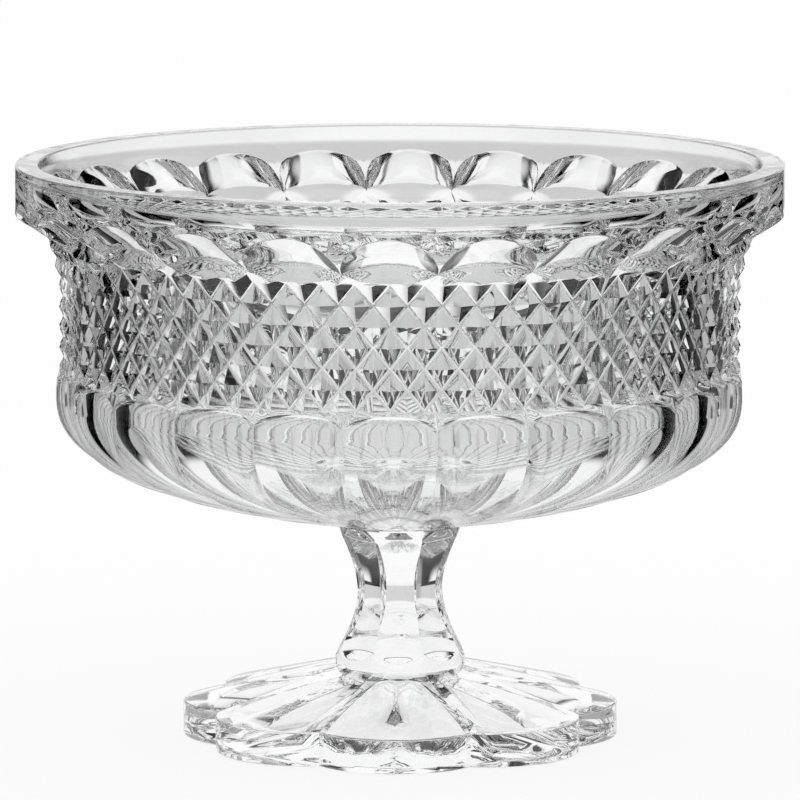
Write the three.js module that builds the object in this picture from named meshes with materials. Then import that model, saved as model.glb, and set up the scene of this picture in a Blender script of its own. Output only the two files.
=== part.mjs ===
import * as THREE from 'three';

// Footed salad bowl of pressed crystal, in millimetres with +Z up.
// The foot stands on Z = 0, the axis is X = Y = 0 and the front faces -Y.

// Counts of the cut pattern around the axis
const PETALS = 8;
const STAR_RAYS = 16;
const STEM_FACETS = 8;
const FLUTES = 24;
const DIAMONDS = 64;
const DIAMOND_ROWS = 5;
const SCOOPS = 24;

// Foot: round petals under a low cone, hollow underneath with a star cut into the hollow
const FOOT_TIP_RADIUS = 71.2;
const FOOT_NOTCH_DEPTH = 7.8;
const FOOT_WALL_HEIGHT = 11.2;
const FOOT_DOME_RISE = 12.4;
const FOOT_EDGE_BREAK = 0.8;
const HOLLOW_MARGIN = 2.4;
const HOLLOW_RISE = 12.0;
const STAR_TIP_MARGIN = 3.8;
const STAR_SHOULDER = 10.0;
const STAR_HALF_WIDTH = 5.0;
const STAR_DEPTH = 3.0;
const STAR_CORE_RADIUS = 16.0;

// Clear bond films between the ground seats
const FILM_THICKNESS = 0.3;
const FILM_SETBACK = 0.8;

// Stem: concave facets that run out on a round collar at each end
const STEM_HEIGHT = 45.8;
const STEM_RING_HEIGHT = 2.1;
const STEM_WAIST_HEIGHT = 24.4;
const STEM_WAIST_APOTHEM = 13.7;
const STEM_COLLAR_RADIUS = 21.2;
const STEM_TOP_SETBACK = 1.0;

// Bowl heights, from its seat up to the rim
const SEAT_BREAK = 0.5;
const UNDERSIDE_HEIGHT = 51.0;
const BAND_BORDER = 1.2;
const ROW_HEIGHT = 6.62;
const SCOOP_BORDER = 0.9;
const SCOOP_LOWER_ARC = 2.8;
const SCOOP_UPPER_ARC = 11.9;
const RIM_WALL_HEIGHT = 11.1;
const RIM_EDGE_BREAK = 0.7;

// Bowl radii and their steps
const RIM_RADIUS = 125.0;
const RIM_FACE = 7.5;
const RIM_OVERHANG = 14.0;
const NECK_FLARE = 2.9;
const BELLY_SWELL = 1.2;
const BELLY_TUCK = 1.3;
const SEAT_SETBACK = 0.2;

// Underside curve: belly below the diamond band, and the pulls of its two ends
const BELLY_DROP = 8.35;
const BELLY_PULL = 23.0;
const SEAT_PULL = 60.2;
const SEAT_PULL_RISE = 9.9;

// Cut depths, walls and the cove under the rim
const DIAMOND_RELIEF = 3.0;
const OVAL_DEPTH = 1.1;
const OVAL_RISE = 3.0;
const OVAL_BEND = 2.5;
const SLOPE_BEND = 1.1;
const FLUTE_DEPTH = 2.9;
const FLUTE_ARCH = 4.5;
const FLUTE_RUN_OUT = 12.0;
const COVE_BELOW_CUSP = 1.4;
const COVE_HEIGHT = 8.3;
const WALL_THICKNESS = 3.4;
const FLOOR_THICKNESS = 9.5;
const FUNNEL_RISE = 1.6;

// Facets for each flute, scoop, petal and stem face
const ARC_STEPS = 6;
const PETAL_STEPS = 10;
const STEM_STEPS = 4;
const FILM_STEPS = 48;

// Heights that follow
const FOOT_SEAT_Z = FOOT_WALL_HEIGHT + FOOT_DOME_RISE;
const STEM_BASE_Z = FOOT_SEAT_Z + FILM_THICKNESS;
const STEM_TOP_Z = STEM_BASE_Z + STEM_HEIGHT;
const BOWL_SEAT_Z = STEM_TOP_Z + FILM_THICKNESS;
const BAND_FOOT_Z = BOWL_SEAT_Z + UNDERSIDE_HEIGHT;
const BELLY_Z = BAND_FOOT_Z - BELLY_DROP;
const LATTICE_BASE_Z = BAND_FOOT_Z + BAND_BORDER;
const LATTICE_TOP_Z = LATTICE_BASE_Z + (DIAMOND_ROWS + 1) * ROW_HEIGHT;
const SCOOP_LOW_Z = LATTICE_TOP_Z + SCOOP_BORDER;
const SCOOP_CUSP_Z = SCOOP_LOW_Z + SCOOP_LOWER_ARC;
const SCOOP_CROWN_Z = SCOOP_CUSP_Z + SCOOP_UPPER_ARC;
const RIM_Z = SCOOP_CROWN_Z + RIM_WALL_HEIGHT;
const COVE_LOW_Z = SCOOP_CUSP_Z - COVE_BELOW_CUSP;
const COVE_HIGH_Z = COVE_LOW_Z + COVE_HEIGHT;

// Radii that follow
const FOOT_NOTCH_RADIUS = FOOT_TIP_RADIUS - FOOT_NOTCH_DEPTH;
const HOLLOW_RADIUS = FOOT_NOTCH_RADIUS - HOLLOW_MARGIN;
const STEM_TOP_RADIUS = STEM_COLLAR_RADIUS - STEM_TOP_SETBACK;
const SEAT_RADIUS = STEM_TOP_RADIUS - SEAT_SETBACK;
const FILM_RADIUS = SEAT_RADIUS - SEAT_BREAK - FILM_SETBACK;
const BAND_RADIUS = RIM_RADIUS - RIM_OVERHANG;
const NECK_RADIUS = BAND_RADIUS + NECK_FLARE;
const BELLY_RADIUS = BAND_RADIUS + BELLY_SWELL;
const INNER_RADIUS = BAND_RADIUS - DIAMOND_RELIEF - WALL_THICKNESS;
const RIM_INNER_RADIUS = RIM_RADIUS - RIM_FACE;

const TURN = Math.PI * 2;
const FRONT = -Math.PI / 2;
const { lerp, smoothstep, smootherstep } = THREE.MathUtils;

// Place of a column within its own repeat, -1 and 1 at the edges and 0 in the middle
function across(column, steps) {
  const place = (2 * (column % steps)) / steps;
  return place > 1 ? place - 2 : place;
}

// Closed skin built as a walk of rings, welded where points coincide
class Skin {
  constructor() {
    this.points = [];
    this.known = new Map();
    this.faces = [];
  }

  vertex(angle, radius, z) {
    const point = [radius * Math.cos(angle), radius * Math.sin(angle), z];
    const key = point.map((v) => Math.round(v * 1e4)).join(',');
    if (!this.known.has(key)) {
      this.known.set(key, this.points.length);
      this.points.push(point);
    }
    return this.known.get(key);
  }

  face(a, b, c) {
    if (a === b || b === c || a === c) return;
    this.faces.push([a, b, c]);
  }

  // One turn of points from the front, shape gives [radius, z] for a column
  ring(count, shape) {
    const ids = [];
    for (let i = 0; i < count; i += 1) {
      const [radius, z] = shape(i);
      ids.push(this.vertex(FRONT + (TURN * i) / count, radius, z));
    }
    return ids;
  }

  distance(a, b) {
    const p = this.points[a];
    const q = this.points[b];
    return Math.hypot(p[0] - q[0], p[1] - q[1], p[2] - q[2]);
  }

  // Joins two rings of one count, each cell split along its shorter or its stated diagonal
  bridge(first, second, splitStraight) {
    const count = first.length;
    for (let i = 0; i < count; i += 1) {
      const a = first[i];
      const b = first[(i + 1) % count];
      const c = second[i];
      const d = second[(i + 1) % count];
      const straight = splitStraight ? splitStraight(i) : this.distance(a, d) <= this.distance(b, c);
      if (straight) {
        this.face(a, c, d);
        this.face(a, d, b);
      } else {
        this.face(a, c, b);
        this.face(b, c, d);
      }
    }
  }

  // Joins two rings of different counts by stepping whichever is behind
  zip(first, second) {
    let i = 0;
    let j = 0;
    while (i < first.length || j < second.length) {
      const a = first[i % first.length];
      const c = second[j % second.length];
      const firstIsBehind = (i + 1) * second.length <= (j + 1) * first.length;
      if (j >= second.length || (i < first.length && firstIsBehind)) {
        i += 1;
        this.face(a, c, first[i % first.length]);
      } else {
        j += 1;
        this.face(a, c, second[j % second.length]);
      }
    }
  }

  walk(rings) {
    for (let k = 1; k < rings.length; k += 1) {
      if (rings[k - 1].length === rings[k].length) this.bridge(rings[k - 1], rings[k]);
      else this.zip(rings[k - 1], rings[k]);
    }
  }

  // Fan from the axis to the ring that a walk starts or ends with
  startCap(ring, z) {
    const centre = this.vertex(0, 0, z);
    ring.forEach((id, i) => this.face(centre, id, ring[(i + 1) % ring.length]));
  }

  endCap(ring, z) {
    const centre = this.vertex(0, 0, z);
    ring.forEach((id, i) => this.face(centre, ring[(i + 1) % ring.length], id));
  }

  mesh(name, color) {
    const geometry = new THREE.BufferGeometry();
    geometry.setAttribute('position', new THREE.Float32BufferAttribute(this.points.flat(), 3));
    geometry.setIndex(this.faces.flat());
    geometry.computeVertexNormals();
    const material = new THREE.MeshStandardMaterial({ color, roughness: 0.05, metalness: 0 });
    const mesh = new THREE.Mesh(geometry, material);
    mesh.name = name;
    return mesh;
  }
}

// Half circle over -1 to 1
function roundPart(u) {
  return Math.sqrt(Math.max(0, 1 - u * u));
}

// Slant under the rim wall, half straight and half rounded at its ends, radius at a height
function coveRadius(z) {
  const straight = Math.min(1, Math.max(0, (z - COVE_LOW_Z) / COVE_HEIGHT));
  return lerp(NECK_RADIUS, RIM_RADIUS, (straight + smoothstep(z, COVE_LOW_Z, COVE_HIGH_Z)) / 2);
}

// Edges of a scoop: its round top, the crease over the neck's oval and the oval's lower arc
function scoopTop(u) {
  return SCOOP_CUSP_Z + SCOOP_UPPER_ARC * roundPart(u);
}

function scoopCrease(u) {
  return SCOOP_CUSP_Z + (OVAL_RISE * (roundPart(u) + 1 - u * u)) / 2;
}

function scoopBottom(u) {
  return SCOOP_CUSP_Z - SCOOP_LOWER_ARC * roundPart(u);
}

function creaseRadius(u) {
  return lerp(NECK_RADIUS - OVAL_DEPTH, coveRadius(SCOOP_CUSP_Z), u * u);
}

// Slope of a scoop between its top and the crease, as [radius, z]
function scoopSlope(u, rise) {
  const topZ = scoopTop(u);
  return [
    lerp(creaseRadius(u), coveRadius(topZ), rise ** SLOPE_BEND),
    lerp(scoopCrease(u), topZ, rise),
  ];
}

// Upright oval between the crease and its lower arc, as [radius, z]
function scoopOval(u, fall) {
  const lowZ = scoopBottom(u);
  return [
    lerp(creaseRadius(u), coveRadius(lowZ), fall ** OVAL_BEND),
    lerp(scoopCrease(u), lowZ, fall),
  ];
}

// Ridge line of the underside from the belly to the seat, with its inward normal
function undersideCurve() {
  const steps = 10;
  const seatEdge = BOWL_SEAT_Z + SEAT_BREAK;
  const curve = new THREE.CubicBezierCurve(
    new THREE.Vector2(BELLY_RADIUS, BELLY_Z),
    new THREE.Vector2(BELLY_RADIUS, BELLY_Z - BELLY_PULL),
    new THREE.Vector2(SEAT_RADIUS + SEAT_PULL, seatEdge + SEAT_PULL_RISE),
    new THREE.Vector2(SEAT_RADIUS, seatEdge),
  );
  const line = [];
  for (let k = 0; k <= steps; k += 1) {
    const point = curve.getPoint(k / steps);
    const along = curve.getTangent(k / steps);
    line.push({ radius: point.x, z: point.y, inward: -along.y, upward: -along.x });
  }
  return line;
}

// The same line with the swell that leads into it from the diamond band
function undersideLine() {
  const swellSteps = 4;
  const line = [];
  for (let k = 0; k < swellSteps; k += 1) {
    const left = 1 - k / swellSteps;
    const z = lerp(BELLY_Z, BAND_FOOT_Z, left);
    line.push({ radius: BELLY_RADIUS - BELLY_TUCK * left * left, z, inward: 1, upward: 0 });
  }
  return [...line, ...undersideCurve()];
}

// Flute depth: a round end under its arch, an even share of the pitch, and a run-out at the seat
function fluteDepth(u, radius, z) {
  const runIn = Math.min(1, Math.max(0, BAND_FOOT_Z - z) / FLUTE_ARCH);
  const taper = Math.min(radius / BELLY_RADIUS, Math.max(0, radius - SEAT_RADIUS) / FLUTE_RUN_OUT);
  return FLUTE_DEPTH * taper * Math.max(0, runIn * (2 - runIn) - u * u);
}

// Inside wall: parallel to the underside, then a funnel that turns upright at the rim
function innerLine() {
  const funnelSteps = 8;
  const wall = BELLY_RADIUS - INNER_RADIUS;
  const funnelZ = LATTICE_TOP_Z + FUNNEL_RISE;
  const rimEdgeZ = RIM_Z - RIM_EDGE_BREAK;
  const line = [];
  for (const { radius, z, inward, upward } of undersideCurve().reverse()) {
    const share = (BELLY_RADIUS - radius) / (BELLY_RADIUS - SEAT_RADIUS);
    const thickness = lerp(wall, FLOOR_THICKNESS, share * share);
    line.push([radius - thickness * inward, z + thickness * upward]);
  }
  for (let k = 0; k <= funnelSteps; k += 1) {
    const z = lerp(funnelZ, rimEdgeZ, k / funnelSteps);
    line.push([lerp(INNER_RADIUS, RIM_INNER_RADIUS, smootherstep(z, funnelZ, rimEdgeZ)), z]);
  }
  return line;
}

// Diamond lattice: on each level apexes and valleys take turns, row by row half a pitch on
function latticeRings(skin) {
  const flareLevels = 2;
  const rings = [];
  for (let k = 0; k <= DIAMOND_ROWS + 1; k += 1) {
    const z = LATTICE_TOP_Z - k * ROW_HEIGHT;
    const apex = BAND_RADIUS + NECK_FLARE * Math.max(0, 1 - k / flareLevels) ** 1.2;
    rings.push(skin.ring(DIAMONDS * 2, (m) => [(m + k) % 2 === 1 ? apex : apex - DIAMOND_RELIEF, z]));
  }
  for (let k = 1; k < rings.length; k += 1) {
    skin.bridge(rings[k - 1], rings[k], (m) => (m + k) % 2 === 1);
  }
  return rings;
}

function makeBowl() {
  const skin = new Skin();
  const columns = SCOOPS * ARC_STEPS;
  const innerColumns = columns / 2;
  const rimEdgeZ = RIM_Z - RIM_EDGE_BREAK;

  // Inside wall, flat rim and the top of the rim wall
  const inside = innerLine();
  const rings = inside.map(([radius, z]) => skin.ring(innerColumns, () => [radius, z]));
  skin.startCap(rings[0], inside[0][1]);
  rings.push(skin.ring(innerColumns, () => [RIM_INNER_RADIUS + RIM_EDGE_BREAK, RIM_Z]));
  rings.push(skin.ring(columns, () => [RIM_RADIUS - RIM_EDGE_BREAK, RIM_Z]));
  rings.push(skin.ring(columns, () => [RIM_RADIUS, rimEdgeZ]));

  // Rim wall and cove down to the round top of each scoop
  for (const down of [0.62, 0.7, 0.78, 0.89, 1.0]) {
    rings.push(skin.ring(columns, (i) => {
      const z = lerp(rimEdgeZ, scoopTop(across(i, ARC_STEPS)), down);
      return [coveRadius(z), z];
    }));
  }

  // Scoops, which close up at the cusps between them
  for (const rise of [0.66, 0.33, 0.0]) {
    rings.push(skin.ring(columns, (i) => scoopSlope(across(i, ARC_STEPS), rise)));
  }
  for (const fall of [0.6, 1.0]) {
    rings.push(skin.ring(columns, (i) => scoopOval(across(i, ARC_STEPS), fall)));
  }
  skin.walk(rings);

  // Diamond band
  const lattice = latticeRings(skin);
  skin.walk([rings.at(-1), lattice[0]]);

  // Flutes of the underside and the flat seat
  const fluteColumns = FLUTES * ARC_STEPS;
  const under = undersideLine().map((place) => skin.ring(fluteColumns, (i) => {
    const depth = fluteDepth(across(i, ARC_STEPS), place.radius, place.z);
    return [place.radius - depth * place.inward, place.z + depth * place.upward];
  }));
  under.push(skin.ring(fluteColumns, () => [SEAT_RADIUS - SEAT_BREAK, BOWL_SEAT_Z]));
  skin.walk([lattice.at(-1), ...under]);
  skin.endCap(under.at(-1), BOWL_SEAT_Z);
  return skin.mesh('bowl', 0xeef1f2);
}

function makeStem() {
  const skin = new Skin();
  const columns = STEM_FACETS * STEM_STEPS;
  const halfFacet = Math.PI / STEM_FACETS;
  const waistZ = STEM_BASE_Z + STEM_WAIST_HEIGHT;
  const ringTopZ = STEM_BASE_Z + STEM_RING_HEIGHT;
  // A level is an octagon whose corners stop at the round collar
  const level = (z, apothem, collar) => skin.ring(columns, (i) => {
    const corner = apothem / Math.cos(across(i, STEM_STEPS) * halfFacet);
    return [Math.min(corner, collar), z];
  });
  const half = (endZ, collar, power, shares) => shares.map((share) => {
    const apothem = lerp(STEM_WAIST_APOTHEM, collar, share ** power);
    return level(lerp(waistZ, endZ, share), apothem, collar);
  });
  const rings = [
    ...half(STEM_TOP_Z, STEM_TOP_RADIUS, 1.75, [1.0, 0.92, 0.8, 0.68, 0.55, 0.39, 0.2]),
    ...half(ringTopZ, STEM_COLLAR_RADIUS, 1.85, [0, 0.18, 0.34, 0.47, 0.6, 0.73, 0.88, 1.0]),
    skin.ring(columns, () => [STEM_COLLAR_RADIUS, STEM_BASE_Z]),
  ];
  skin.startCap(rings[0], STEM_TOP_Z);
  skin.walk(rings);
  skin.endCap(rings.at(-1), STEM_BASE_Z);
  return skin.mesh('stem', 0xe8ecee);
}

// Hollow under the foot: a cone that runs up to a flat core, height at a radius
function hollowZ(radius) {
  return (HOLLOW_RISE * (HOLLOW_RADIUS - radius)) / (HOLLOW_RADIUS - STAR_CORE_RADIUS);
}

// Standing ring, then the hollow with kite grooves from its core out to pointed tips
function starCut(skin, rim) {
  const beats = STAR_RAYS * 2;
  const tipRadius = HOLLOW_RADIUS - STAR_TIP_MARGIN;
  const wideRadius = tipRadius - STAR_SHOULDER;
  const wideZ = hollowZ(wideRadius);
  const widening = Math.asin(STAR_HALF_WIDTH / wideRadius);
  const edge = skin.ring(beats * 2, () => [HOLLOW_RADIUS, 0]);
  const tips = skin.ring(beats, () => [tipRadius, hollowZ(tipRadius)]);
  const cores = skin.ring(beats, () => [STAR_CORE_RADIUS, HOLLOW_RISE]);
  skin.walk([rim, edge, tips]);
  skin.endCap(cores, HOLLOW_RISE);
  for (let i = 0; i < beats; i += 2) {
    const angle = FRONT + (TURN * i) / beats;
    const keel = skin.vertex(angle, wideRadius, wideZ + STAR_DEPTH);
    for (const side of [-1, 1]) {
      const j = (i + side + beats) % beats;
      const lip = skin.vertex(angle + side * widening, wideRadius, wideZ);
      const plain = skin.vertex(FRONT + (TURN * j) / beats, wideRadius, wideZ);
      const walls = [
        [tips[i], keel, lip],
        [cores[i], lip, keel],
        [tips[i], lip, plain],
        [tips[i], plain, tips[j]],
        [lip, cores[i], cores[j]],
        [lip, cores[j], plain],
      ];
      for (const [a, b, c] of walls) {
        if (side > 0) skin.face(a, b, c);
        else skin.face(a, c, b);
      }
    }
  }
}

function makeFoot() {
  const skin = new Skin();
  const columns = PETALS * PETAL_STEPS;
  const halfPetal = Math.PI / PETALS;
  // Each petal is one arc through its tip and the notches beside it
  const halfChord = FOOT_NOTCH_RADIUS * Math.sin(halfPetal);
  const bulge = FOOT_TIP_RADIUS - FOOT_NOTCH_RADIUS * Math.cos(halfPetal);
  const arcRadius = (halfChord * halfChord + bulge * bulge) / (2 * bulge);
  const arcCentre = FOOT_TIP_RADIUS - arcRadius;
  const outline = (i) => {
    const off = across(i, PETAL_STEPS) * halfPetal;
    return arcCentre * Math.cos(off) + Math.sqrt(arcRadius ** 2 - (arcCentre * Math.sin(off)) ** 2);
  };
  const edgeRing = (setback, z) => skin.ring(columns, (i) => [outline(i) - setback, z]);
  const domeMiddle = skin.ring(columns, (i) => {
    const radius = lerp(STEM_COLLAR_RADIUS, outline(i) - FOOT_EDGE_BREAK, 0.5);
    return [radius, lerp(FOOT_SEAT_Z, FOOT_WALL_HEIGHT, 0.5)];
  });
  const rings = [
    skin.ring(columns, () => [STEM_COLLAR_RADIUS, FOOT_SEAT_Z]),
    domeMiddle,
    edgeRing(FOOT_EDGE_BREAK, FOOT_WALL_HEIGHT),
    edgeRing(0, FOOT_WALL_HEIGHT - FOOT_EDGE_BREAK),
    edgeRing(0, FOOT_EDGE_BREAK),
    edgeRing(FOOT_EDGE_BREAK, 0),
  ];
  skin.startCap(rings[0], FOOT_SEAT_Z);
  skin.walk(rings);
  starCut(skin, rings.at(-1));
  return skin.mesh('foot', 0xe9edef);
}

function makeFilm(name, z) {
  const skin = new Skin();
  const upper = skin.ring(FILM_STEPS, () => [FILM_RADIUS, z + FILM_THICKNESS]);
  const lower = skin.ring(FILM_STEPS, () => [FILM_RADIUS, z]);
  skin.startCap(upper, z + FILM_THICKNESS);
  skin.walk([upper, lower]);
  skin.endCap(lower, z);
  return skin.mesh(name, 0xf4f6f6);
}

const assembly = new THREE.Group();
assembly.add(makeFoot());
assembly.add(makeFilm('lower_bond', FOOT_SEAT_Z));
assembly.add(makeStem());
assembly.add(makeFilm('upper_bond', STEM_TOP_Z));
assembly.add(makeBowl());

export default assembly;
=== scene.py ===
import math

import bpy
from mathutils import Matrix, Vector


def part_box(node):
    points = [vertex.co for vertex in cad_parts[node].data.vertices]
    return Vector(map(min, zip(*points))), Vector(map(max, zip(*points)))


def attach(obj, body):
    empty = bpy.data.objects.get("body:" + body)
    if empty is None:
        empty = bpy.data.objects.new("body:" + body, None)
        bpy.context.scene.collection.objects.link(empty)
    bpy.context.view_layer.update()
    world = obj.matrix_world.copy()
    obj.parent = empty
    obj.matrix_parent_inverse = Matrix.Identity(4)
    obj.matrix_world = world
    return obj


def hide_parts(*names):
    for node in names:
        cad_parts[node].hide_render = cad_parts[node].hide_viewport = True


# Footed salad bowl of clear cut crystal, in metres with +Z up and its front towards -Y.
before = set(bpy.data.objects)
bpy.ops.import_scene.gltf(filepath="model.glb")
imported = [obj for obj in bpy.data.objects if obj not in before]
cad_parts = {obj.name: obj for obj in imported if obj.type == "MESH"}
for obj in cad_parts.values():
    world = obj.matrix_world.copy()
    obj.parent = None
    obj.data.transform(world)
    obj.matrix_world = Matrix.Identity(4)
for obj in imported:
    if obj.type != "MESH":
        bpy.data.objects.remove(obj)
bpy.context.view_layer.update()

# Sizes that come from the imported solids
bowl_low, bowl_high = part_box("bowl")
stem_low, stem_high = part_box("stem")
foot_low, foot_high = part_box("foot")
RIM_RADIUS = bowl_high.x
RIM_Z = bowl_high.z
BOWL_SEAT_Z = bowl_low.z
STEM_TOP_Z = stem_high.z
STEM_BASE_Z = stem_low.z
COLLAR_RADIUS = stem_high.x
FOOT_TIP_RADIUS = foot_high.x
FOOT_SEAT_Z = foot_high.z

# The cut pattern repeats eight times round the axis
SECTORS = 8
SECTOR = math.tau / SECTORS
FRONT = -math.pi / 2
SCOOPS_PER_SECTOR = 3
DIAMONDS_PER_SECTOR = 8
DIAMOND_ROWS = 5
RAYS_PER_SECTOR = 2

# Steps that round shapes are drawn in
SCOOP_STEPS = 16
INSIDE_STEPS = 30
FACET_STEPS = 24
PETAL_STEPS = 32
RIDGE_PLACE = 0.999

# Heights of the bowl, from its seat up
UNDERSIDE_HEIGHT = 0.0510
BAND_BORDER = 0.0012
ROW_HEIGHT = 0.00662
SCOOP_BORDER = 0.0009
SCOOP_LOWER_ARC = 0.0028
SCOOP_UPPER_ARC = 0.0119
COVE_BELOW_CUSP = 0.0014
COVE_HEIGHT = 0.0083
RIM_EDGE = 0.0007
SEAT_EDGE = 0.0005
FLOOR_THICKNESS = 0.0095
FUNNEL_RISE = 0.0016

# Radii of the bowl, from the rim in
RIM_FACE = 0.0075
RIM_OVERHANG = 0.014
NECK_FLARE = 0.0029
FLARE_LEVELS = 2
FLARE_BEND = 1.2
BELLY_SWELL = 0.0012
BELLY_TUCK = 0.0013
SEAT_RADIUS = 0.0200
WALL_THICKNESS = 0.0034

# Underside curve and its flutes
BELLY_DROP = 0.00835
SWELL_POWER = 4
BELLY_PULL = 0.0230
SEAT_PULL = 0.0602
SEAT_PULL_RISE = 0.0099
FLUTE_DEPTH = 0.0029
FLUTE_ARCH = 0.0045
FLUTE_RUN_IN = 0.0012
FLUTE_RUN_OUT = 0.012

# Cut depths and the fire-polished roundness of their edges
DIAMOND_RELIEF = 0.0030
LENS_DEPTH = 0.0011
LENS_RISE = 0.0030
LENS_BEND = 2.5
SLOPE_BEND = 1.1
EDGE_ROUND = 0.00100
GROOVE_ROUND = 0.14
GROOVE_STEPS = 4
RIDGE_SHARE = 0.24
FLUTE_SHARE = 0.90
PETAL_SHARE = 0.60
FACET_SHARE = 0.27
ROUND_SEGMENTS = 2
WELD_DISTANCE = 0.000004
SHARP_ANGLE = math.radians(50)
NORMAL_WEIGHT = 80

# Stem and foot
STEM_RING_HEIGHT = 0.0021
STEM_WAIST_HEIGHT = 0.0244
STEM_WAIST_APOTHEM = 0.0137
STEM_TOP_SETBACK = 0.0010
STEM_HOLLOW = 0.0005
STEM_TOP_BEND = 1.75
STEM_BASE_BEND = 1.85
FOOT_NOTCH_DEPTH = 0.0078
FOOT_WALL_HEIGHT = 0.0112
HOLLOW_RADIUS = 0.0610
HOLLOW_RISE = 0.0120
STAR_TIP_RADIUS = 0.0572
STAR_SHOULDER_RADIUS = 0.0472
STAR_HALF_WIDTH = 0.0050
STAR_DEPTH = 0.0030
STAR_CORE_RADIUS = 0.0160

# Heights and radii that follow
BAND_FOOT_Z = BOWL_SEAT_Z + UNDERSIDE_HEIGHT
BELLY_Z = BAND_FOOT_Z - BELLY_DROP
LATTICE_BASE_Z = BAND_FOOT_Z + BAND_BORDER
LATTICE_TOP_Z = LATTICE_BASE_Z + (DIAMOND_ROWS + 1) * ROW_HEIGHT
SCOOP_LOW_Z = LATTICE_TOP_Z + SCOOP_BORDER
SCOOP_CUSP_Z = SCOOP_LOW_Z + SCOOP_LOWER_ARC
COVE_LOW_Z = SCOOP_CUSP_Z - COVE_BELOW_CUSP
COVE_HIGH_Z = COVE_LOW_Z + COVE_HEIGHT
BAND_RADIUS = RIM_RADIUS - RIM_OVERHANG
NECK_RADIUS = BAND_RADIUS + NECK_FLARE
BELLY_RADIUS = BAND_RADIUS + BELLY_SWELL
INNER_RADIUS = BAND_RADIUS - DIAMOND_RELIEF - WALL_THICKNESS
RIM_INNER_RADIUS = RIM_RADIUS - RIM_FACE

# Clear crystal with a faint haze and ripple, and the film that bonds the seats
CRYSTAL_IOR = 1.53
CRYSTAL_HAZE = 0.012
CRYSTAL_CLEAR = (0.985, 0.987, 0.987, 1.0)
CRYSTAL_THICK = (0.975, 0.978, 0.978, 1.0)
BOND_HAZE = (0.02, 0.06)
BOND_CLEAR = (0.97, 0.97, 0.96, 1.0)
BOND_THICK = (0.94, 0.94, 0.93, 1.0)
HAZE_SCALE = 40.0
HAZE_DETAIL = 3.0
BOWL_RIPPLE_SCALE = 60.0
STEM_RIPPLE_SCALE = 70.0
FOOT_RIPPLE_SCALE = 50.0
BOND_RIPPLE_SCALE = 60.0
RIPPLE_DEPTH = 0.00002

# Long lens that the photo's ellipses fit
CAMERA_DISTANCE = 2.2
CAMERA_TURN = math.radians(1.6)
CAMERA_Z = 0.4252
CAMERA_AIM_Z = 0.1104
CAMERA_LENS = 306.4
CAMERA_SENSOR = 36.0
CAMERA_CLIP_END = 100.0

# Panels that glass sees, by degrees from straight behind: where each fades out and where it is full
BACK_TURNS = (18, 14)
EIGHTH_TURNS = (8, 5.5)
HALF_EIGHTH = 22.5
FRONT_TURNS = (138, 146)
HORIZON_TURNS = (28, 22)
FAN_TURNS = (50, 36)

# The same for the tops of the panels, by degrees above the table
PANEL_CLIMBS = (58, 48)
FRONT_CLIMBS = (40, 28)
HORIZON_CLIMBS = (13, 1)

# A raised box at each side, with the degrees from its middle where it fades out and where it is full
SIDE_BOX_TURN = math.radians(68)
SIDE_BOX_CLIMB = math.radians(42)
SIDE_BOX_SPREAD = (15, 10)

# Levels of the panels, and of the panels' light painted on the table as glow that glass sees, against
# white
BACK_LEVEL = 1.0
EIGHTH_LEVEL = 0.32
FRONT_LEVEL = 1.0
HORIZON_LEVEL = 0.92
PAINTED_TABLE_EIGHTH_LIGHT = 0.48
PAINTED_TABLE_FRONT_LIGHT = 0.95
PAINTED_TABLE_CLOSE_LIGHT = 0.96
PAINTED_TABLE_MIDDLE_LIGHT = 0.66
PAINTED_TABLE_FAR_LIGHT = 0.94

# Reach of the painted light on the table, from the axis: where it starts to change and where it is done
CLOSE_REACH = (0.17, 0.12)
MIDDLE_REACH = (0.80, 0.60)
FAR_REACH = (0.60, 0.85)
TABLE_SIDE = 3.0
TABLE_Z = -0.0003
TABLE_COLOUR = (0.9, 0.9, 0.9, 1.0)
TABLE_SHINE = 0.88

# Times that light may mirror or pass on its way through the cut glass
GLASS_BOUNCES = 32
MIRROR_BOUNCES = 16


def lerp(start, end, share):
    return start + (end - start) * share


def smoothstep(value, low, high):
    share = min(1.0, max(0.0, (value - low) / (high - low)))
    return share * share * (3 - 2 * share)


def round_part(u):
    """Half circle over -1..1."""
    return math.sqrt(max(0.0, 1 - u * u))


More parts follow.
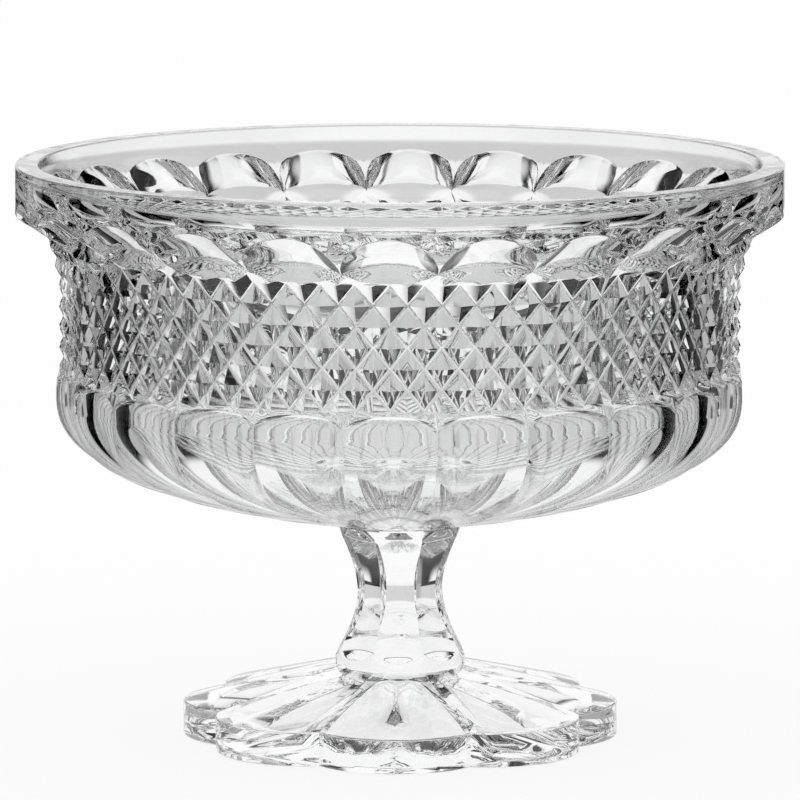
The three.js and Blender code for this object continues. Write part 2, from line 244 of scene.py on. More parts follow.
class SectorSkin:
    """One eighth of a piece, gathered as rows of points that are joined to faces."""

    def __init__(self):
        self.points = []
        self.turns = []
        self.faces = []
        self.bonded = []
        self.edges = {}

    def row(self, places):
        """Adds points given as (turn from the front, radius, height)."""
        first = len(self.points)
        for turn, radius, z in places:
            angle = FRONT + turn
            self.points.append((radius * math.cos(angle), radius * math.sin(angle), z))
            self.turns.append(turn)
        return list(range(first, len(self.points)))

    def face(self, *corners, bonded=False):
        self.faces.append(corners)
        self.bonded.append(bonded)

    def soften(self, a, b, share):
        """Marks an edge to be rounded by a share of EDGE_ROUND."""
        self.edges[min(a, b), max(a, b)] = share

    def bridge(self, upper, lower):
        for i in range(len(upper) - 1):
            self.face(upper[i], lower[i], lower[i + 1], upper[i + 1])

    def zip(self, upper, lower):
        """Joins two rows of different counts by stepping whichever is behind."""
        i = 0
        j = 0
        while i < len(upper) - 1 or j < len(lower) - 1:
            upper_left = i < len(upper) - 1
            lower_left = j < len(lower) - 1
            if upper_left and (not lower_left or self.turns[upper[i + 1]] <= self.turns[lower[j + 1]]):
                self.face(upper[i], lower[j], upper[i + 1])
                i += 1
            else:
                self.face(upper[i], lower[j], lower[j + 1])
                j += 1

    def walk(self, rows):
        for upper, lower in zip(rows, rows[1:]):
            if len(upper) == len(lower):
                self.bridge(upper, lower)
            else:
                self.zip(upper, lower)

    def start_cap(self, row, z, bonded=False):
        centre = self.row([(0.0, 0.0, z)])[0]
        for a, b in zip(row, row[1:]):
            self.face(centre, a, b, bonded=bonded)

    def end_cap(self, row, z, bonded=False):
        centre = self.row([(0.0, 0.0, z)])[0]
        for a, b in zip(row, row[1:]):
            self.face(centre, b, a, bonded=bonded)

    def mesh(self, name):
        mesh = bpy.data.meshes.new(name)
        mesh.from_pydata(self.points, [], self.faces)
        mesh.update(calc_edges=True)
        bonded = mesh.attributes.new("bonded", "BOOLEAN", "FACE")
        bonded.data.foreach_set("value", self.bonded)
        weight = mesh.attributes.new("bevel_weight_edge", "FLOAT", "EDGE")
        for edge in mesh.edges:
            key = tuple(sorted(edge.vertices))
            weight.data[edge.index].value = self.edges.get(key, 0.0)
        return mesh


def arc_columns(repeats, steps):
    """Turns over one sector with the place -1..1 in each repeat, closer together at its ends."""
    pitch = SECTOR / repeats
    columns = []
    for i in range(repeats * steps + 1):
        cell = round(i / steps)
        u = math.sin((i / steps - cell) * math.pi)
        columns.append(((cell + u / 2) * pitch, u))
    return columns


def even_turns(steps):
    return [SECTOR * i / steps for i in range(steps + 1)]


def cove_radius(z):
    """Slant under the rim, half straight and half rounded at its ends."""
    straight = min(1.0, max(0.0, (z - COVE_LOW_Z) / COVE_HEIGHT))
    return lerp(NECK_RADIUS, RIM_RADIUS, (straight + smoothstep(z, COVE_LOW_Z, COVE_HIGH_Z)) / 2)


def scoop_top(u):
    return SCOOP_CUSP_Z + SCOOP_UPPER_ARC * round_part(u)


def scoop_bottom(u):
    return SCOOP_CUSP_Z - SCOOP_LOWER_ARC * round_part(u)


def scoop_crease(u):
    return SCOOP_CUSP_Z + LENS_RISE * (round_part(u) + 1 - u * u) / 2


def scoop_rows(skin, columns, arch_gap, slope_steps=10, lens_steps=6):
    """A slope from the arch in to a crease, then the upright oval that the neck is cut to below it."""
    cusp_radius = cove_radius(SCOOP_CUSP_Z)
    creases = []
    for turn, u in columns:
        creases.append((lerp(NECK_RADIUS - LENS_DEPTH, cusp_radius, u * u), scoop_crease(u)))
    rows = []
    for k in range(slope_steps + 1):
        rise = min(1 - k / slope_steps, 1 - arch_gap)
        places = []
        for (turn, u), (radius, z) in zip(columns, creases):
            top = scoop_top(u)
            places.append((turn, lerp(radius, cove_radius(top), rise**SLOPE_BEND), lerp(z, top, rise)))
        rows.append(skin.row(places))
    for k in range(1, lens_steps + 1):
        fall = k / lens_steps
        places = []
        for (turn, u), (radius, z) in zip(columns, creases):
            low = scoop_bottom(u)
            places.append((turn, lerp(radius, cove_radius(low), fall**LENS_BEND), lerp(z, low, fall)))
        rows.append(skin.row(places))
    return rows


def inner_line(funnel_steps=20):
    """Inside wall: parallel to the underside, then a funnel that turns upright at the rim."""
    wall = BELLY_RADIUS - INNER_RADIUS
    line = []
    for radius, z, inward, upward in reversed(underside_line()):
        share = (BELLY_RADIUS - radius) / (BELLY_RADIUS - SEAT_RADIUS)
        thickness = lerp(wall, FLOOR_THICKNESS, share * share)
        line.append((radius - thickness * inward, z + thickness * upward))
    funnel_z = LATTICE_TOP_Z + FUNNEL_RISE
    lip_z = RIM_Z - RIM_EDGE
    for k in range(funnel_steps + 1):
        share = k / funnel_steps
        out = share**3 * (share * (share * 6 - 15) + 10)
        line.append((lerp(INNER_RADIUS, RIM_INNER_RADIUS, out), lerp(funnel_z, lip_z, share)))
    return line


def rim_edge_line(corner_radius, outward, steps=4):
    """Quarter round over the edge of the flat rim, climbing at the inside and falling at the outside."""
    line = []
    for k in range(1, steps):
        swing = (k / steps) * math.pi / 2
        early = RIM_EDGE * (1 - math.cos(swing))
        late = RIM_EDGE * (1 - math.sin(swing))
        aside, down = (early, late) if outward < 0 else (late, early)
        line.append((corner_radius - outward * aside, RIM_Z - down))
    return line


def diamond_band(skin):
    """Pyramids whose grooves are rounded at the bottom, row by row half a diamond on.

    Level k holds an apex where column plus level is odd and a groove crossing elsewhere. Returns the
    band's top and bottom edges."""
    steps = DIAMONDS_PER_SECTOR * 2
    levels = DIAMOND_ROWS + 1
    shares = [GROOVE_ROUND * i / GROOVE_STEPS for i in range(GROOVE_STEPS + 1)]
    known = {}

    def apex_radius(k):
        return BAND_RADIUS + NECK_FLARE * max(0.0, 1 - k / FLARE_LEVELS) ** FLARE_BEND

    def point(m, k, dm, dk, share):
        """Place on the ridge from the apex at column m, level k to the crossing beside it."""
        key = (m, k, dm, dk, share) if 0 < share < 1 else (m + dm, k + dk) if share == 0 else (m, k)
        if key not in known:
            valley = apex_radius(k + dk) - DIAMOND_RELIEF
            height = share if share >= GROOVE_ROUND else (share**2 / GROOVE_ROUND + GROOVE_ROUND) / 2
            turn = SECTOR * (m + dm * (1 - share)) / steps
            z = LATTICE_TOP_Z - (k + dk * (1 - share)) * ROW_HEIGHT
            known[key] = skin.row([(turn, lerp(valley, apex_radius(k), height), z)])[0]
        return known[key]

    for k in range(levels + 1):
        for m in range(steps + 1):
            if (m + k) % 2 == 0:
                continue
            for dm in (-1, 1):
                for dk in (-1, 1):
                    if not (0 <= m + dm <= steps and 0 <= k + dk <= levels):
                        continue
                    sides = [point(m, k, dm, 0, share) for share in shares]
                    ends = [point(m, k, 0, dk, share) for share in shares]
                    top = point(m, k, dm, 0, 1)
                    clockwise = dm * dk > 0
                    for i in range(GROOVE_STEPS):
                        quad = (sides[i], ends[i], ends[i + 1], sides[i + 1])
                        skin.face(*(quad[::-1] if clockwise else quad))
                    tip = (sides[-1], ends[-1], top)
                    skin.face(*(tip[::-1] if clockwise else tip))
                    if 0 < k < levels:
                        skin.soften(sides[-1], top, RIDGE_SHARE)
                    skin.soften(ends[-1], top, RIDGE_SHARE)

    def edge(k):
        line = []
        for m in range(steps + 1):
            if (m + k) % 2:
                inner = [point(m, k, -1, 0, share) for share in shares[1:]] if m > 0 else []
                outer = [point(m, k, 1, 0, share) for share in shares[:0:-1]] if m < steps else []
                line += inner + [known[m, k]] + outer
            else:
                line.append(known[m, k])
        return line

    return edge(0), edge(levels)


def underside_line(curve_steps=40):
    """Ridge line of the underside below the belly: radius, height and its inward normal."""
    seat_edge_z = BOWL_SEAT_Z + SEAT_EDGE
    pulls = [
        Vector((BELLY_RADIUS, BELLY_Z)),
        Vector((BELLY_RADIUS, BELLY_Z - BELLY_PULL)),
        Vector((SEAT_RADIUS + SEAT_PULL, seat_edge_z + SEAT_PULL_RISE)),
        Vector((SEAT_RADIUS, seat_edge_z)),
    ]
    legs = [end - start for start, end in zip(pulls, pulls[1:])]
    line = []
    for k in range(1, curve_steps + 1):
        t = k / curve_steps
        s = 1 - t
        point = pulls[0] * s**3 + pulls[1] * 3 * s * s * t + pulls[2] * 3 * s * t * t + pulls[3] * t**3
        along = legs[0] * s * s + legs[1] * 2 * s * t + legs[2] * t * t
        along.normalize()
        line.append((point.x, point.y, -along.y, -along.x))
    return line


def flute_arch(u):
    return BAND_FOOT_Z - FLUTE_ARCH * (1 - round_part(u))


def flute_depth(u, radius, z):
    """Depth below the ridge line: an even share of the pitch, with a short end under the arch."""
    run_in = min(1.0, max(0.0, flute_arch(u) - z) / FLUTE_RUN_IN)
    taper = min(radius / BELLY_RADIUS, max(0.0, radius - SEAT_RADIUS) / FLUTE_RUN_OUT)
    return FLUTE_DEPTH * taper * (1 - u * u) * run_in * (2 - run_in)


def underside_rows(skin, columns, swell_steps=14):
    rows = []
    for k in range(swell_steps + 1):
        places = []
        for turn, u in columns:
            z = lerp(flute_arch(u), BELLY_Z, k / swell_steps)
            left = (z - BELLY_Z) / BELLY_DROP
            radius = BELLY_RADIUS - BELLY_TUCK * left**SWELL_POWER
            places.append((turn, radius - flute_depth(u, radius, z), z))
        rows.append(skin.row(places))
    for radius, z, inward, upward in underside_line():
        places = []
        for turn, u in columns:
            depth = flute_depth(u, radius, z)
            places.append((turn, radius - depth * inward, z + depth * upward))
        rows.append(skin.row(places))
    for i, (turn, u) in enumerate(columns):
        if abs(u) > RIDGE_PLACE:
            for upper, lower in zip(rows, rows[1:-1]):
                skin.soften(upper[i], lower[i], FLUTE_SHARE)
    return rows


def bowl_skin():
    skin = SectorSkin()
    columns = arc_columns(SCOOPS_PER_SECTOR, SCOOP_STEPS)
    inner_turns = even_turns(INSIDE_STEPS)

    # Inside wall and flat rim
    inside = inner_line()
    rows = [skin.row([(turn, radius, z) for turn in inner_turns]) for radius, z in inside]
    skin.start_cap(rows[0], inside[0][1])
    for radius, z in rim_edge_line(RIM_INNER_RADIUS, -1):
        rows.append(skin.row([(turn, radius, z) for turn in inner_turns]))
    rows.append(skin.row([(turn, RIM_INNER_RADIUS + RIM_EDGE, RIM_Z) for turn in inner_turns]))
    rows.append(skin.row([(turn, RIM_RADIUS - RIM_EDGE, RIM_Z) for turn, u in columns]))
    for radius, z in rim_edge_line(RIM_RADIUS, 1):
        rows.append(skin.row([(turn, radius, z) for turn, u in columns]))

    # Rim wall and cove down to the round top of each scoop
    wall_steps = 18
    arch_gap = 0.012
    rim_edge_z = RIM_Z - RIM_EDGE
    for k in range(wall_steps + 1):
        down = min(k / wall_steps, 1 - arch_gap)
        heights = [(turn, lerp(rim_edge_z, scoop_top(u), down)) for turn, u in columns]
        rows.append(skin.row([(turn, cove_radius(z), z) for turn, z in heights]))

    # Scoops, which close up at the cusps between them
    rows += scoop_rows(skin, columns, arch_gap)
    skin.walk(rows)

    # Diamond band, fluted underside and the ground seat
    band_top, band_foot = diamond_band(skin)
    skin.walk([rows[-1], band_top])
    under = underside_rows(skin, columns)
    under.append(skin.row([(turn, SEAT_RADIUS - SEAT_EDGE, BOWL_SEAT_Z) for turn, u in columns]))
    border = skin.row([(turn, BELLY_RADIUS - BELLY_TUCK, BAND_FOOT_Z) for turn, u in columns])
    skin.walk([band_foot, border, *under])
    skin.end_cap(under[-1], BOWL_SEAT_Z, bonded=True)
    return skin


def stem_skin():
    skin = SectorSkin()
    columns = arc_columns(1, FACET_STEPS)
    half_facet = SECTOR / 2
    waist_z = STEM_BASE_Z + STEM_WAIST_HEIGHT
    ring_top_z = STEM_BASE_Z + STEM_RING_HEIGHT
    top_radius = COLLAR_RADIUS - STEM_TOP_SETBACK

    def level(end_z, collar, power, share):
        apothem = lerp(STEM_WAIST_APOTHEM, collar, share**power)
        hollow = STEM_HOLLOW * (1 - share * share)
        places = []
        for turn, u in columns:
            radius = min(apothem / math.cos(u * half_facet), collar) - hollow * (1 - u * u)
            places.append((turn, radius, lerp(waist_z, end_z, share)))
        return skin.row(places)

    def half(end_z, collar, power, shares):
        return [level(end_z, collar, power, share) for share in shares]

    steps = 26
    rows = half(STEM_TOP_Z, top_radius, STEM_TOP_BEND, [1 - k / steps for k in range(steps)])
    rows += half(ring_top_z, COLLAR_RADIUS, STEM_BASE_BEND, [k / steps for k in range(steps + 1)])
    rows.append(skin.row([(turn, COLLAR_RADIUS, STEM_BASE_Z) for turn, u in columns]))
    skin.start_cap(rows[0], STEM_TOP_Z, bonded=True)
    skin.walk(rows)
    skin.end_cap(rows[-1], STEM_BASE_Z, bonded=True)

    # Edges between the facets, which fade out before the collars
    plain_top = 4
    plain_base = 5
    for i, (turn, u) in enumerate(columns):
        if abs(u) > RIDGE_PLACE:
            for upper, lower in zip(rows[plain_top:], rows[plain_top + 1:-plain_base]):
                skin.soften(upper[i], lower[i], FACET_SHARE)
    return skin


def petal_outline(off):
    """Radius of a petal: one arc through its tip and the notches beside it."""
    half_petal = SECTOR / 2
    notch_radius = FOOT_TIP_RADIUS - FOOT_NOTCH_DEPTH
    half_chord = notch_radius * math.sin(half_petal)
    bulge = FOOT_TIP_RADIUS - notch_radius * math.cos(half_petal)
    arc_radius = (half_chord**2 + bulge**2) / (2 * bulge)
    arc_centre = FOOT_TIP_RADIUS - arc_radius
    return arc_centre * math.cos(off) + math.sqrt(arc_radius**2 - (arc_centre * math.sin(off)) ** 2)


def hollow_z(radius):
    """Height of the hollow under the foot, a cone that runs up to a flat core."""
    return HOLLOW_RISE * (HOLLOW_RADIUS - radius) / (HOLLOW_RADIUS - STAR_CORE_RADIUS)


def star_cut(skin, rim):
    """Standing ring, then the hollow with kite grooves from its core out to pointed tips."""
    beats = even_turns(RAYS_PER_SECTOR * 2)
    widening = math.asin(STAR_HALF_WIDTH / STAR_SHOULDER_RADIUS)
    shoulder_z = hollow_z(STAR_SHOULDER_RADIUS)
    edge = skin.row([(turn, HOLLOW_RADIUS, 0.0) for turn in even_turns(PETAL_STEPS)])
    tips = skin.row([(turn, STAR_TIP_RADIUS, hollow_z(STAR_TIP_RADIUS)) for turn in beats])
    cores = skin.row([(turn, STAR_CORE_RADIUS, HOLLOW_RISE) for turn in beats])
    skin.walk([rim, edge, tips])
    skin.end_cap(cores, HOLLOW_RISE)
    for i in range(0, len(beats), 2):
        keel = skin.row([(beats[i], STAR_SHOULDER_RADIUS, shoulder_z + STAR_DEPTH)])[0]
        for side in (-1, 1):
            j = i + side
            if not 0 <= j < len(beats):
                continue
            places = [(beats[i] + side * widening, STAR_SHOULDER_RADIUS, shoulder_z)]
            places.append((beats[j], STAR_SHOULDER_RADIUS, shoulder_z))
            lip, plain = skin.row(places)
            walls = [(tips[i], keel, lip), (cores[i], lip, keel)]
            walls += [(tips[i], lip, plain, tips[j]), (lip, cores[i], cores[j], plain)]
            for corners in walls:
                skin.face(*(corners if side > 0 else corners[::-1]))


def foot_skin():
    skin = SectorSkin()
    columns = arc_columns(1, PETAL_STEPS)
    outline = [(turn, petal_outline(u * SECTOR / 2)) for turn, u in columns]
    dome_steps = 10
    rows = []
    for k in range(dome_steps + 1):
        share = k / dome_steps
        z = lerp(FOOT_SEAT_Z, FOOT_WALL_HEIGHT, share)
        places = [(turn, lerp(COLLAR_RADIUS, radius, share), z) for turn, radius in outline]
        rows.append(skin.row(places))
    rows.append(skin.row([(turn, radius, 0.0) for turn, radius in outline]))
    for row in rows[-2:]:
        for a, b in zip(row, row[1:]):
            skin.soften(a, b, PETAL_SHARE)
    skin.start_cap(rows[0], FOOT_SEAT_Z, bonded=True)
    skin.walk(rows)
    star_cut(skin, rows[-1])
    return skin


def repeat_tree():
    """Geometry nodes that turn a sector round the axis, weld the seams and set the materials."""
    tree = bpy.data.node_groups.new("Repeat round the axis", "GeometryNodeTree")
    sockets = tree.interface.new_socket
    sockets("Sector", in_out="INPUT", socket_type="NodeSocketGeometry")
    sockets("Copies", in_out="INPUT", socket_type="NodeSocketInt")
    sockets("Weld distance", in_out="INPUT", socket_type="NodeSocketFloat")
    sockets("Crystal", in_out="INPUT", socket_type="NodeSocketMaterial")
    sockets("Bonded seat", in_out="INPUT", socket_type="NodeSocketMaterial")
    sockets("Piece", in_out="OUTPUT", socket_type="NodeSocketGeometry")
    nodes = tree.nodes
    link = tree.links.new
    given = nodes.new("NodeGroupInput")
    points = nodes.new("GeometryNodeMeshLine")
    points.inputs["Offset"].default_value = (0.0, 0.0, 0.0)
    step = nodes.new("ShaderNodeMath")
    step.operation = "DIVIDE"
    step.inputs[0].default_value = math.tau
    turn = nodes.new("ShaderNodeMath")
    turn.operation = "MULTIPLY"
    index = nodes.new("GeometryNodeInputIndex")
    euler = nodes.new("ShaderNodeCombineXYZ")
    rotation = nodes.new("FunctionNodeEulerToRotation")
    copies = nodes.new("GeometryNodeInstanceOnPoints")
    realize = nodes.new("GeometryNodeRealizeInstances")
    weld = nodes.new("GeometryNodeMergeByDistance")
    crystal = nodes.new("GeometryNodeSetMaterial")
    bonded = nodes.new("GeometryNodeInputNamedAttribute")
    bonded.data_type = "BOOLEAN"
    bonded.inputs["Name"].default_value = "bonded"
    seat = nodes.new("GeometryNodeSetMaterial")
    piece = nodes.new("NodeGroupOutput")
    link(given.outputs["Copies"], points.inputs["Count"])
    link(given.outputs["Copies"], step.inputs[1])
    link(index.outputs[0], turn.inputs[0])
    link(step.outputs[0], turn.inputs[1])
    link(turn.outputs[0], euler.inputs["Z"])
    link(euler.outputs[0], rotation.inputs[0])
    link(points.outputs[0], copies.inputs["Points"])
    link(given.outputs["Sector"], copies.inputs["Instance"])
    link(rotation.outputs[0], copies.inputs["Rotation"])
    link(copies.outputs[0], realize.inputs[0])
    link(realize.outputs[0], weld.inputs["Geometry"])
    link(given.outputs["Weld distance"], weld.inputs["Distance"])
    link(weld.outputs[0], crystal.inputs["Geometry"])
    link(given.outputs["Crystal"], crystal.inputs["Material"])
    link(crystal.outputs[0], seat.inputs["Geometry"])
    link(bonded.outputs["Attribute"], seat.inputs["Selection"])
    link(given.outputs["Bonded seat"], seat.inputs["Material"])
    link(seat.outputs[0], piece.inputs[0])
    return tree


def input_id(tree, name):
    for item in tree.interface.items_tree:
        if item.item_type == "SOCKET" and item.in_out == "INPUT" and item.name == name:
            return item.identifier
    raise KeyError(name)


def glass_piece(name, node, skin, tree, crystal, seat):
    """Turns a sector into the whole piece, rounds its marked edges and sets it in the node's place."""
    source = bpy.data.objects.new(name + "_sector", skin.mesh(name + "_sector"))
    bpy.context.scene.collection.objects.link(source)
    repeat = source.modifiers.new("Repeat", "NODES")
    repeat.node_group = tree
    repeat[input_id(tree, "Copies")] = SECTORS
    repeat[input_id(tree, "Weld distance")] = WELD_DISTANCE
    repeat[input_id(tree, "Crystal")] = crystal
    repeat[input_id(tree, "Bonded seat")] = seat
    rounding = source.modifiers.new("Fire polish", "BEVEL")
    rounding.limit_method = "WEIGHT"
    rounding.offset_type = "OFFSET"
    rounding.width = EDGE_ROUND
    rounding.segments = ROUND_SEGMENTS
    rounding.use_clamp_overlap = True
    depsgraph = bpy.context.evaluated_depsgraph_get()
    mesh = bpy.data.meshes.new_from_object(source.evaluated_get(depsgraph), depsgraph=depsgraph)
    bpy.data.objects.remove(source)
    mesh.name = name
    mesh.shade_smooth()
    mesh.set_sharp_from_angle(angle=SHARP_ANGLE)
    piece = bpy.data.objects.new(name, mesh)
    bpy.context.scene.collection.objects.link(piece)
    even = piece.modifiers.new("Facet normals", "WEIGHTED_NORMAL")
    even.keep_sharp = True
    even.weight = NORMAL_WEIGHT
    depsgraph = bpy.context.evaluated_depsgraph_get()
    shaded = bpy.data.meshes.new_from_object(piece.evaluated_get(depsgraph), depsgraph=depsgraph)
    piece.modifiers.remove(even)
    piece.data = shaded
    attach(piece, "root")
    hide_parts(node)
    return piece


def polish_group():
    """Faint waviness and haze that polishing leaves on pressed glass."""
    group = bpy.data.node_groups.new("Polished glass", "ShaderNodeTree")
    sockets = group.interface.new_socket
    sockets("Ripple scale", in_out="INPUT", socket_type="NodeSocketFloat")
    sockets("Least roughness", in_out="INPUT", socket_type="NodeSocketFloat")
    sockets("Most roughness", in_out="INPUT", socket_type="NodeSocketFloat")
    sockets("Clear colour", in_out="INPUT", socket_type="NodeSocketColor")
    sockets("Thick colour", in_out="INPUT", socket_type="NodeSocketColor")
    sockets("Height", in_out="OUTPUT", socket_type="NodeSocketFloat")
    sockets("Roughness", in_out="OUTPUT", socket_type="NodeSocketFloat")
    sockets("Colour", in_out="OUTPUT", socket_type="NodeSocketColor")
    nodes = group.nodes
    link = group.links.new
    given = nodes.new("NodeGroupInput")
    result = nodes.new("NodeGroupOutput")
    place = nodes.new("ShaderNodeTexCoord")
    ripple = nodes.new("ShaderNodeTexNoise")
    ripple.inputs["Detail"].default_value = 1.0
    haze = nodes.new("ShaderNodeTexNoise")
    haze.inputs["Scale"].default_value = HAZE_SCALE
    haze.inputs["Detail"].default_value = HAZE_DETAIL
    rough = nodes.new("ShaderNodeMapRange")
    tint = nodes.new("ShaderNodeMix")
    tint.data_type = "RGBA"
    link(place.outputs["Object"], ripple.inputs["Vector"])
    link(place.outputs["Object"], haze.inputs["Vector"])
    link(given.outputs["Ripple scale"], ripple.inputs["Scale"])
    link(haze.outputs["Fac"], rough.inputs["Value"])
    link(given.outputs["Least roughness"], rough.inputs["To Min"])
    link(given.outputs["Most roughness"], rough.inputs["To Max"])
    link(haze.outputs["Fac"], tint.inputs["Factor"])
    link(given.outputs["Clear colour"], tint.inputs["A"])
    link(given.outputs["Thick colour"], tint.inputs["B"])
    link(ripple.outputs["Fac"], result.inputs["Height"])
    link(rough.outputs["Result"], result.inputs["Roughness"])
    link(tint.outputs["Result"], result.inputs["Colour"])
    return group


def crystal_material(name, polish, ripple_scale):
    """Clear glass whose haze and ripple change over the surface."""
    material = bpy.data.materials.new(name)
    material.use_nodes = True
    nodes = material.node_tree.nodes
    link = material.node_tree.links.new
    shader = nodes["Principled BSDF"]
    shader.inputs["IOR"].default_value = CRYSTAL_IOR
    shader.inputs["Transmission Weight"].default_value = 1.0
    surface = nodes.new("ShaderNodeGroup")
    surface.node_tree = polish
    surface.inputs["Ripple scale"].default_value = ripple_scale
    surface.inputs["Least roughness"].default_value = 0.0
    surface.inputs["Most roughness"].default_value = CRYSTAL_HAZE
    surface.inputs["Clear colour"].default_value = CRYSTAL_CLEAR
    surface.inputs["Thick colour"].default_value = CRYSTAL_THICK
    bump = nodes.new("ShaderNodeBump")
    bump.inputs["Strength"].default_value = 1.0
    bump.inputs["Distance"].default_value = RIPPLE_DEPTH
    link(surface.outputs["Colour"], shader.inputs["Base Color"])
    link(surface.outputs["Roughness"], shader.inputs["Roughness"])
    link(surface.outputs["Height"], bump.inputs["Height"])
    link(bump.outputs["Normal"], shader.inputs["Normal"])
    return material


def bonded_material(name, polish):
    """Face that the clear bond wets, so that light runs straight on through it."""
    material = bpy.data.materials.new(name)
    material.use_nodes = True
    nodes = material.node_tree.nodes
    link = material.node_tree.links.new
    shader = nodes["Principled BSDF"]
    shader.inputs["Alpha"].default_value = 0.0
    surface = nodes.new("ShaderNodeGroup")
    surface.node_tree = polish
    surface.inputs["Ripple scale"].default_value = BOND_RIPPLE_SCALE
    surface.inputs["Least roughness"].default_value = BOND_HAZE[0]
    surface.inputs["Most roughness"].default_value = BOND_HAZE[1]
    surface.inputs["Clear colour"].default_value = BOND_CLEAR
    surface.inputs["Thick colour"].default_value = BOND_THICK
    link(surface.outputs["Colour"], shader.inputs["Base Color"])
    link(surface.outputs["Roughness"], shader.inputs["Roughness"])
    return material


def photo_camera():
    """Long lens in front, a little to the right and above the rim."""
    camera = bpy.data.cameras.new("Camera")
    camera.lens = CAMERA_LENS
    camera.sensor_width = CAMERA_SENSOR
    camera.clip_end = CAMERA_CLIP_END
    holder = bpy.data.objects.new("Camera", camera)
    across = CAMERA_DISTANCE * math.sin(CAMERA_TURN)
    ahead = CAMERA_DISTANCE * math.cos(CAMERA_TURN)
    holder.location = (across, -ahead, CAMERA_Z)
    aim = Vector((0.0, 0.0, CAMERA_AIM_Z)) - holder.location
    holder.rotation_mode = "QUATERNION"
    holder.rotation_quaternion = aim.to_track_quat("-Z", "Y")
    bpy.context.scene.collection.objects.link(holder)
    bpy.context.scene.camera = holder


def seen_rays(nodes, link):
    """Factors for rays that go straight from the camera, and for those that mirror or pass glass."""
    path = nodes.new("ShaderNodeLightPath")
    through = nodes.new("ShaderNodeMath")
    through.operation = "MAXIMUM"
    link(path.outputs["Is Glossy Ray"], through.inputs[0])
    link(path.outputs["Is Transmission Ray"], through.inputs[1])
    return path.outputs["Is Camera Ray"], through.outputs[0]


def ramp(nodes, link, value, start, end, low=0.0, high=1.0):
    """Smooth change from low to high as the value goes from start to end."""
    node = nodes.new("ShaderNodeMapRange")
    node.interpolation_type = "SMOOTHSTEP"
    link(value, node.inputs["Value"])
    node.inputs["From Min"].default_value = start
    node.inputs["From Max"].default_value = end
    node.inputs["To Min"].default_value = low
    node.inputs["To Max"].default_value = high
    return node.outputs["Result"]


def combine(nodes, link, operation, first, second=None):
    node = nodes.new("ShaderNodeMath")
    node.operation = operation
    for socket, value in zip(node.inputs, (first, second)):
        if isinstance(value, float):
            socket.default_value = value
        elif value is not None:
            link(value, socket)
    return node.outputs[0]


def angle_ramp(nodes, link, angle, ends, high=1.0):
    """Share that starts at the first of two angles in degrees and is full at the second."""
    return ramp(nodes, link, angle, math.radians(ends[0]), math.radians(ends[1]), 0.0, high)


def panels(nodes, link, swing):
    """Shares of the back panel, the weak ones at each eighth turn and the front one."""
    behind = angle_ramp(nodes, link, swing, BACK_TURNS)
    off_eighth = combine(nodes, link, "PINGPONG", swing, math.radians(HALF_EIGHTH))
    beside = angle_ramp(nodes, link, off_eighth, EIGHTH_TURNS)
    before = angle_ramp(nodes, link, swing, FRONT_TURNS)
    return behind, beside, before


def brightest(nodes, link, levels):
    """Largest of several levels, each a share times its full strength."""
    best = None
    for share, strength in levels:
        level = combine(nodes, link, "MULTIPLY", share, strength)
        best = level if best is None else combine(nodes, link, "MAXIMUM", best, level)
    return best


def turn_from_behind(nodes, link, axes):
    """Angle round the axis away from straight behind, the same to the left and to the right."""
    turn = combine(nodes, link, "ARCTAN2", axes.outputs["X"], axes.outputs["Y"])
    return combine(nodes, link, "ABSOLUTE", turn)


def white_floor():
    """White table top: it stays white to the camera, and glass sees a pool of the panels' light painted
    on it as glow.
    """
    corners = [(-1, -1), (1, -1), (1, 1), (-1, 1)]
    mesh = bpy.data.meshes.new("floor")
    mesh.from_pydata([(x * TABLE_SIDE, y * TABLE_SIDE, TABLE_Z) for x, y in corners], [], [(0, 1, 2, 3)])
    floor = bpy.data.objects.new("floor", mesh)
    bpy.context.scene.collection.objects.link(floor)
    material = bpy.data.materials.new("pale_floor")
    material.use_nodes = True
    nodes = material.node_tree.nodes
    link = material.node_tree.links.new
    nodes.remove(nodes["Principled BSDF"])
    straight, through = seen_rays(nodes, link)
    place = nodes.new("ShaderNodeTexCoord")
    axes = nodes.new("ShaderNodeSeparateXYZ")
    link(place.outputs["Object"], axes.inputs[0])
    swing = turn_from_behind(nodes, link, axes)
    behind, beside, before = panels(nodes, link, swing)
    distance = nodes.new("ShaderNodeVectorMath")
    distance.operation = "LENGTH"
    link(place.outputs["Object"], distance.inputs[0])
    reach = distance.outputs["Value"]
    close = ramp(nodes, link, reach, *CLOSE_REACH, 0.0, PAINTED_TABLE_CLOSE_LIGHT)
    fan = angle_ramp(nodes, link, swing, FAN_TURNS)
    fade = ramp(nodes, link, reach, *MIDDLE_REACH, 0.0, PAINTED_TABLE_MIDDLE_LIGHT)
    middle = combine(nodes, link, "MULTIPLY", fan, fade)
    rise = ramp(nodes, link, reach, *FAR_REACH, PAINTED_TABLE_MIDDLE_LIGHT, PAINTED_TABLE_FAR_LIGHT)
    back = combine(nodes, link, "MULTIPLY", behind, rise)
    # Painted pool of light, a glow that only glass sees: bright close to the axis, dimmer in a middle
    # ring behind, bright again far behind, plus painted light from the side and front panels
    painted_light_pool = brightest(nodes, link, [
        (back, 1.0),
        (beside, PAINTED_TABLE_EIGHTH_LIGHT),
        (before, PAINTED_TABLE_FRONT_LIGHT),
        (middle, 1.0),
        (close, 1.0),
    ])
    level = combine(nodes, link, "MAXIMUM", painted_light_pool, straight)
    glow = nodes.new("ShaderNodeEmission")
    link(level, glow.inputs["Strength"])
    matt = nodes.new("ShaderNodeBsdfDiffuse")
    matt.inputs["Color"].default_value = TABLE_COLOUR
    shine = combine(nodes, link, "MULTIPLY", straight, TABLE_SHINE)
    share = combine(nodes, link, "MAXIMUM", shine, through)
    mix = nodes.new("ShaderNodeMixShader")
    link(share, mix.inputs[0])
    link(matt.outputs[0], mix.inputs[1])
    link(glow.outputs[0], mix.inputs[2])
    link(mix.outputs[0], nodes["Material Output"].inputs["Surface"])
    mesh.materials.append(material)


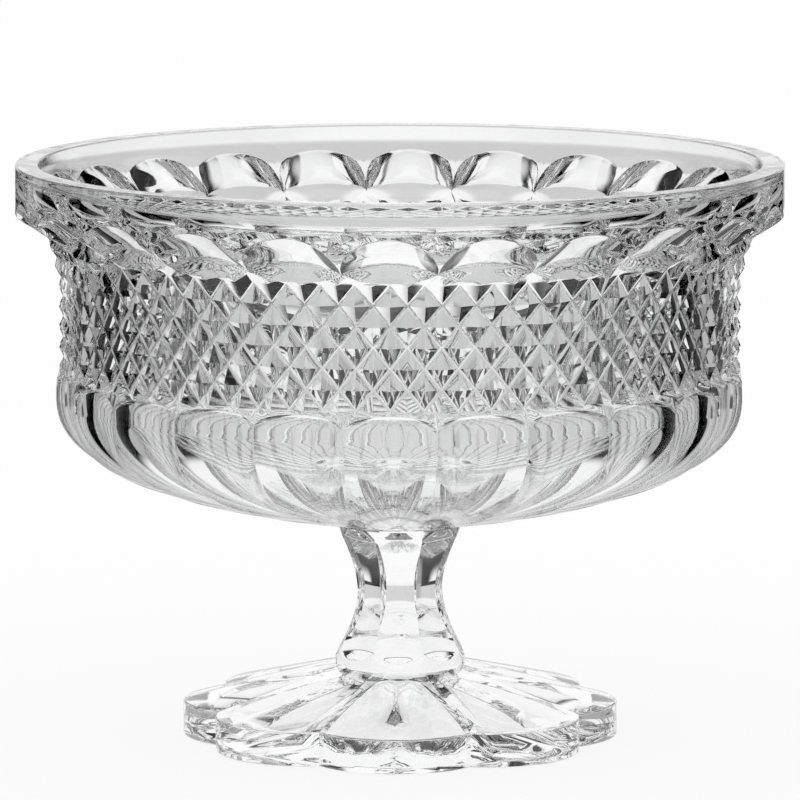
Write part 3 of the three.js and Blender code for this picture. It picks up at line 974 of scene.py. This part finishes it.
def studio_world():
    """White to the camera. Glass sees panels round the table, with dark gaps between them, and two boxes.

    The back panel is wider near the horizon, and a raised box stands at each side."""
    world = bpy.data.worlds.new("Studio")
    bpy.context.scene.world = world
    world.use_nodes = True
    nodes = world.node_tree.nodes
    link = world.node_tree.links.new
    background = nodes["Background"]
    through = seen_rays(nodes, link)[1]
    place = nodes.new("ShaderNodeTexCoord")
    axes = nodes.new("ShaderNodeSeparateXYZ")
    link(place.outputs["Generated"], axes.inputs[0])
    swing = turn_from_behind(nodes, link, axes)
    climb = combine(nodes, link, "ARCSINE", axes.outputs["Z"])
    behind, beside, before = panels(nodes, link, swing)
    before = combine(nodes, link, "MULTIPLY", before, angle_ramp(nodes, link, climb, FRONT_CLIMBS))
    horizon = combine(
        nodes, link, "MULTIPLY",
        angle_ramp(nodes, link, swing, HORIZON_TURNS, HORIZON_LEVEL),
        angle_ramp(nodes, link, climb, HORIZON_CLIMBS),
    )
    lit = brightest(nodes, link, [
        (behind, BACK_LEVEL),
        (beside, EIGHTH_LEVEL),
        (before, FRONT_LEVEL),
        (horizon, 1.0),
    ])
    lit = combine(nodes, link, "MULTIPLY", lit, angle_ramp(nodes, link, climb, PANEL_CLIMBS))
    mirrored = nodes.new("ShaderNodeCombineXYZ")
    link(combine(nodes, link, "ABSOLUTE", axes.outputs["X"]), mirrored.inputs["X"])
    link(axes.outputs["Y"], mirrored.inputs["Y"])
    link(axes.outputs["Z"], mirrored.inputs["Z"])
    facing = nodes.new("ShaderNodeVectorMath")
    facing.operation = "DOT_PRODUCT"
    facing.inputs[1].default_value = (
        math.sin(SIDE_BOX_TURN) * math.cos(SIDE_BOX_CLIMB),
        math.cos(SIDE_BOX_TURN) * math.cos(SIDE_BOX_CLIMB),
        math.sin(SIDE_BOX_CLIMB),
    )
    link(mirrored.outputs[0], facing.inputs[0])
    box_ends = [math.cos(math.radians(angle)) for angle in SIDE_BOX_SPREAD]
    raised = ramp(nodes, link, facing.outputs["Value"], *box_ends)
    level = combine(nodes, link, "MAXIMUM", lit, raised)
    plain = combine(nodes, link, "SUBTRACT", 1.0, through)
    shown = combine(nodes, link, "MULTIPLY", level, through)
    link(combine(nodes, link, "ADD", shown, plain), background.inputs["Strength"])
    background.inputs["Color"].default_value = (1.0, 1.0, 1.0, 1.0)


photo_camera()
white_floor()
studio_world()

polish = polish_group()
bond = bonded_material("clear_bond", polish)
tree = repeat_tree()
glass_piece("cut_bowl", "bowl", bowl_skin(), tree,
            crystal_material("bowl_crystal", polish, BOWL_RIPPLE_SCALE), bond)
glass_piece("faceted_stem", "stem", stem_skin(), tree,
            crystal_material("stem_crystal", polish, STEM_RIPPLE_SCALE), bond)
glass_piece("petal_foot", "foot", foot_skin(), tree,
            crystal_material("foot_crystal", polish, FOOT_RIPPLE_SCALE), bond)
for film in ("lower_bond", "upper_bond"):
    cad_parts[film].data.materials.clear()
    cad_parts[film].data.materials.append(bond)

scene = bpy.context.scene
scene.view_settings.view_transform = "Standard"
scene.cycles.max_bounces = GLASS_BOUNCES
scene.cycles.transmission_bounces = GLASS_BOUNCES
scene.cycles.glossy_bounces = MIRROR_BOUNCES
scene.cycles.transparent_max_bounces = GLASS_BOUNCES
